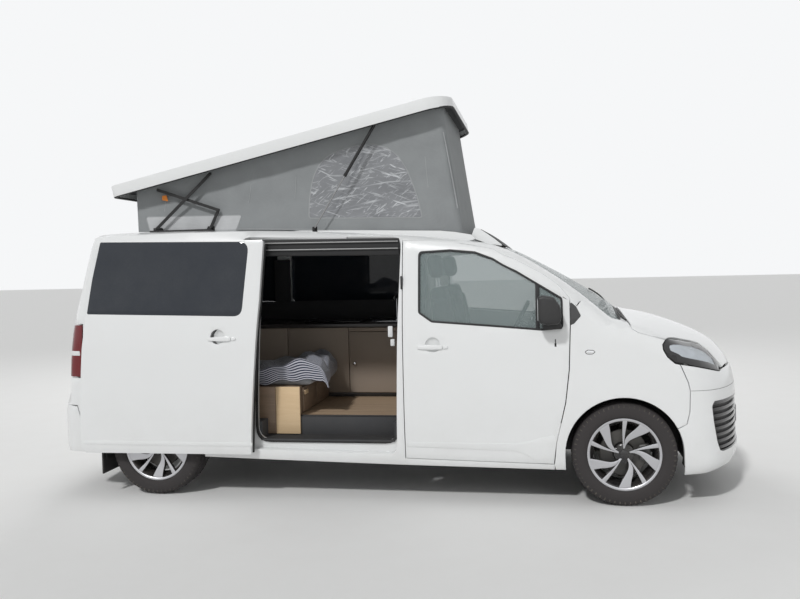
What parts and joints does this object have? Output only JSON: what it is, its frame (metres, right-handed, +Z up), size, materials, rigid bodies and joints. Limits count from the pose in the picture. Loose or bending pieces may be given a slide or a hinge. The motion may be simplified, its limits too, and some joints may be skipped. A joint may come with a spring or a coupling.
{
  "type": "camper van",
  "caption": "Mid-length camper van with a lifting roof on a tent wall, open sliding side door, hinged doors, bonnet and tailgate, steered front wheels.",
  "frame": {"origin": "on the ground under the middle of the van's length and width", "axes": "+X forwards, +Y to the van's left, +Z up"},
  "size_m": [4.956, 2.2, 2.7981],
  "materials": {
    "white_paint": "gloss",
    "dark_glass": "gloss",
    "clear_glass": "gloss",
    "black_plastic": "matt",
    "lamp_glass": "gloss",
    "red_lamp": "gloss",
    "grey_steel": "satin",
    "cast_steel": "matt",
    "exhaust_steel": "satin",
    "oak_floor": "satin",
    "taupe_board": "matt",
    "birch_board": "satin",
    "striped_fabric": "woven",
    "seat_fabric": "woven",
    "tent_fabric": "woven",
    "black_steel": "satin",
    "bright_rod": "polished",
    "alloy": "machined",
    "tyre": "matt"
  },
  "bodies": {
    "root": {"body_side_right": "white_paint", "body_side_left": "white_paint", "roof_panel": "white_paint", "roof_fairing": "white_paint", "front_wings": "white_paint", "front_bumper": "white_paint", "rear_bumper": "white_paint", "sliding_door": "white_paint", "side_glass": "dark_glass", "sliding_door_glass": "dark_glass", "windscreen": "clear_glass", "front_grille": "black_plastic", "dashboard": "black_plastic", "steering_column": "black_plastic", "headlamps": "lamp_glass", "tail_lamps": "red_lamp", "floor_pan": "grey_steel", "bulkhead": "grey_steel", "front_subframe": "cast_steel", "rear_axle": "cast_steel", "engine_block": "cast_steel", "exhaust": "exhaust_steel", "fuel_tank": "black_plastic", "wood_floor": "oak_floor", "kitchen_cabinet": "taupe_board", "bench_box": "birch_board", "mattress": "striped_fabric", "front_seats": "seat_fabric", "tent": "tent_fabric", "lift_rails": "black_steel"},
    "lifting_roof": {"lifting_roof": "white_paint"},
    "front_door_right": {"front_door_right": "white_paint", "door_glass_right": "clear_glass", "mirror_right": "black_plastic"},
    "front_door_left": {"front_door_left": "white_paint", "door_glass_left": "clear_glass", "mirror_left": "black_plastic"},
    "tailgate": {"tailgate": "white_paint", "tailgate_glass": "dark_glass"},
    "bonnet": {"bonnet": "white_paint"},
    "knuckle_right": {"knuckle_right": "cast_steel"},
    "knuckle_left": {"knuckle_left": "cast_steel"},
    "steering_wheel": {"steering_wheel": "black_plastic"},
    "wheel_front_right": {"rim_front_right": "alloy", "tyre_front_right": "tyre"},
    "wheel_front_left": {"rim_front_left": "alloy", "tyre_front_left": "tyre"},
    "wheel_rear_right": {"rim_rear_right": "alloy", "tyre_rear_right": "tyre"},
    "wheel_rear_left": {"rim_rear_left": "alloy", "tyre_rear_left": "tyre"},
    "long_bars": {"long_bars": "black_steel"},
    "cross_bars": {"cross_bars": "black_steel"},
    "short_links": {"short_links": "black_steel"},
    "strut_cylinders": {"strut_cylinders": "black_steel"},
    "strut_rods": {"strut_rods": "bright_rod"}
  },
  "joints": [
    {"name": "roof_lift", "type": "hinge", "parent": "root", "child": "lifting_roof", "pos_m": [-3.02251, 0, 1.98374], "axis": [0, 1, 0], "range_deg": [0, 13.7], "deforming": ["tent"]},
    {"name": "long_bar_swing", "type": "hinge", "parent": "root", "child": "long_bars", "pos_m": [-1.73, 0, 1.918], "axis": [0, 1, 0], "range_deg": [0, 43]},
    {"name": "short_link_swing", "type": "hinge", "parent": "root", "child": "short_links", "pos_m": [-1.311, 0, 1.918], "axis": [0, 1, 0], "range_deg": [0, 65]},
    {"name": "cross_bar_swing", "type": "hinge", "parent": "short_links", "child": "cross_bars", "pos_m": [-1.24656, 0, 2.05012], "axis": [0, 1, 0], "range_deg": [-84, 0]},
    {"name": "strut_swing", "type": "hinge", "parent": "root", "child": "strut_cylinders", "pos_m": [-0.509, 0, 1.888], "axis": [0, 1, 0], "range_deg": [0, 58.09]},
    {"name": "strut_stroke", "type": "slide", "parent": "strut_cylinders", "child": "strut_rods", "axis": [0.5386, 0, 0.8426], "range_m": [-0.3351, 0]},
    {"name": "front_door_right_swing", "type": "hinge", "parent": "root", "child": "front_door_right", "pos_m": [1.165, -0.943, 0.9], "axis": [0, 0, 1], "range_deg": [0, 65]},
    {"name": "front_door_left_swing", "type": "hinge", "parent": "root", "child": "front_door_left", "pos_m": [1.165, 0.943, 0.9], "axis": [0, 0, -1], "range_deg": [0, 65]},
    {"name": "tailgate_lift", "type": "hinge", "parent": "root", "child": "tailgate", "pos_m": [-2.185, 0, 1.85], "axis": [0, 1, 0], "range_deg": [0, 85]},
    {"name": "bonnet_lift", "type": "hinge", "parent": "root", "child": "bonnet", "pos_m": [1.64, 0, 1.168], "axis": [0, -1, 0], "range_deg": [0, 45]},
    {"name": "steer_right", "type": "hinge", "parent": "root", "child": "knuckle_right", "pos_m": [1.597, -0.745, 0.2], "axis": [0, 0.1307, 0.9914], "range_deg": [-33, 33]},
    {"name": "steer_left", "type": "hinge", "parent": "root", "child": "knuckle_left", "pos_m": [1.597, 0.745, 0.2], "axis": [0, -0.1307, 0.9914], "range_deg": [-33, 33]},
    {"name": "steering_wheel_turn", "type": "hinge", "parent": "root", "child": "steering_wheel", "pos_m": [0.88, 0.4, 1.14], "axis": [-0.8829, 0, 0.4695], "range_deg": [-540, 540]},
    {"name": "wheel_front_right_spin", "type": "hinge", "parent": "knuckle_right", "child": "wheel_front_right", "pos_m": [1.597, -0.8135, 0.342], "axis": [0, 1, 0], "continuous": true},
    {"name": "wheel_front_left_spin", "type": "hinge", "parent": "knuckle_left", "child": "wheel_front_left", "pos_m": [1.597, 0.8135, 0.342], "axis": [0, 1, 0], "continuous": true},
    {"name": "wheel_rear_right_spin", "type": "hinge", "parent": "root", "child": "wheel_rear_right", "pos_m": [-1.678, -0.8, 0.342], "axis": [0, 1, 0], "continuous": true},
    {"name": "wheel_rear_left_spin", "type": "hinge", "parent": "root", "child": "wheel_rear_left", "pos_m": [-1.678, 0.8, 0.342], "axis": [0, 1, 0], "continuous": true}
  ],
  "couplings": [
    {"joint": "long_bar_swing", "follows": "roof_lift", "ratio": 3.0727},
    {"joint": "short_link_swing", "follows": "roof_lift", "ratio": 4.5251},
    {"joint": "cross_bar_swing", "follows": "roof_lift", "ratio": -5.9337},
    {"joint": "strut_swing", "follows": "roof_lift", "ratio": 4.1665},
    {"joint": "strut_stroke", "follows": "roof_lift", "m_per_rad": -1.393},
    {"joint": "steer_left", "follows": "steer_right", "ratio": 1},
    {"joint": "steering_wheel_turn", "follows": "steer_right", "ratio": 15.5}
  ]
}
